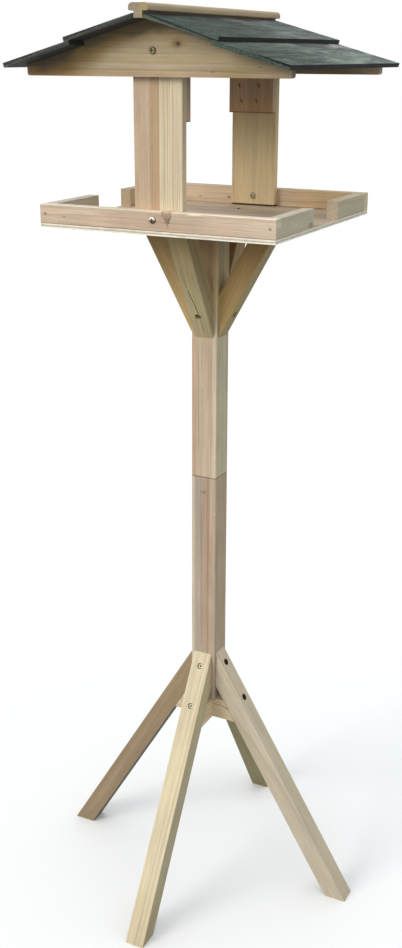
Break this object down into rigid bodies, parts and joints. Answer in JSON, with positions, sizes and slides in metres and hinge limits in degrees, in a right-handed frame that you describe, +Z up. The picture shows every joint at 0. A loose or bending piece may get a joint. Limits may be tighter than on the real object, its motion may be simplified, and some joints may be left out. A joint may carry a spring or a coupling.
{
  "type": "bird table",
  "caption": "Wooden bird table: square pole on splayed legs, braced railed tray, two posts and a gabled roof of overlapping boards under a rounded ridge cap.",
  "frame": {"origin": "on the ground, on the axis of the pole", "axes": "+X along the front rail to the right, +Y to the rear, +Z up along the pole"},
  "size_m": [0.442, 0.442, 1.1708],
  "materials": {
    "batten_pine": "planed softwood, bare, matt",
    "pole_pine": "planed softwood, bare, matt",
    "pine_board": "planed softwood board, bare, matt",
    "ridge_pine": "moulded softwood, weathered, matt",
    "plywood": "thin plywood, pale edges",
    "roof_stain": "slate-green stain, low sheen, worn streaks",
    "beech": "turned dowel, bare",
    "zinc_screw": "zinc plated, dull",
    "wire": "bright drawn wire, dull"
  },
  "bodies": {
    "root": {"block_staples_front": "wire", "block_staples_rear": "wire", "brace_front": "batten_pine", "brace_left": "batten_pine", "brace_rear": "batten_pine", "brace_right": "batten_pine", "brace_screw_front": "zinc_screw", "brace_screw_left": "zinc_screw", "brace_screw_rear": "zinc_screw", "brace_screw_right": "zinc_screw", "floor_to_brace_screws": "zinc_screw", "floor_to_pole_screw": "zinc_screw", "gable_front": "pine_board", "gable_rear": "pine_board", "gable_screw_front": "zinc_screw", "gable_screw_rear": "zinc_screw", "leg_front": "batten_pine", "leg_left": "batten_pine", "leg_rear": "batten_pine", "leg_right": "batten_pine", "leg_screws_lower": "zinc_screw", "leg_screws_upper": "zinc_screw", "pole_dowel": "beech", "pole_lock_screw": "zinc_screw", "pole_lower": "pole_pine", "pole_upper": "pole_pine", "post_block_front": "pine_board", "post_block_rear": "pine_board", "post_front": "pine_board", "post_rear": "pine_board", "post_screw_front": "zinc_screw", "post_screw_rear": "zinc_screw", "rail_corner_pins": "wire", "rail_front": "pine_board", "rail_left_front": "pine_board", "rail_left_rear": "pine_board", "rail_rear": "pine_board", "rail_right_front": "pine_board", "rail_right_rear": "pine_board", "ridge_cap": "ridge_pine", "ridge_cap_pins": "wire", "roof_board_left_lower": "roof_stain", "roof_board_left_upper": "roof_stain", "roof_board_nails": "wire", "roof_board_right_lower": "roof_stain", "roof_board_right_upper": "roof_stain", "spreader_front_rear": "batten_pine", "spreader_left_right": "batten_pine", "tray_floor": "plywood", "tray_floor_pins": "wire"}
  },
  "joints": []
}
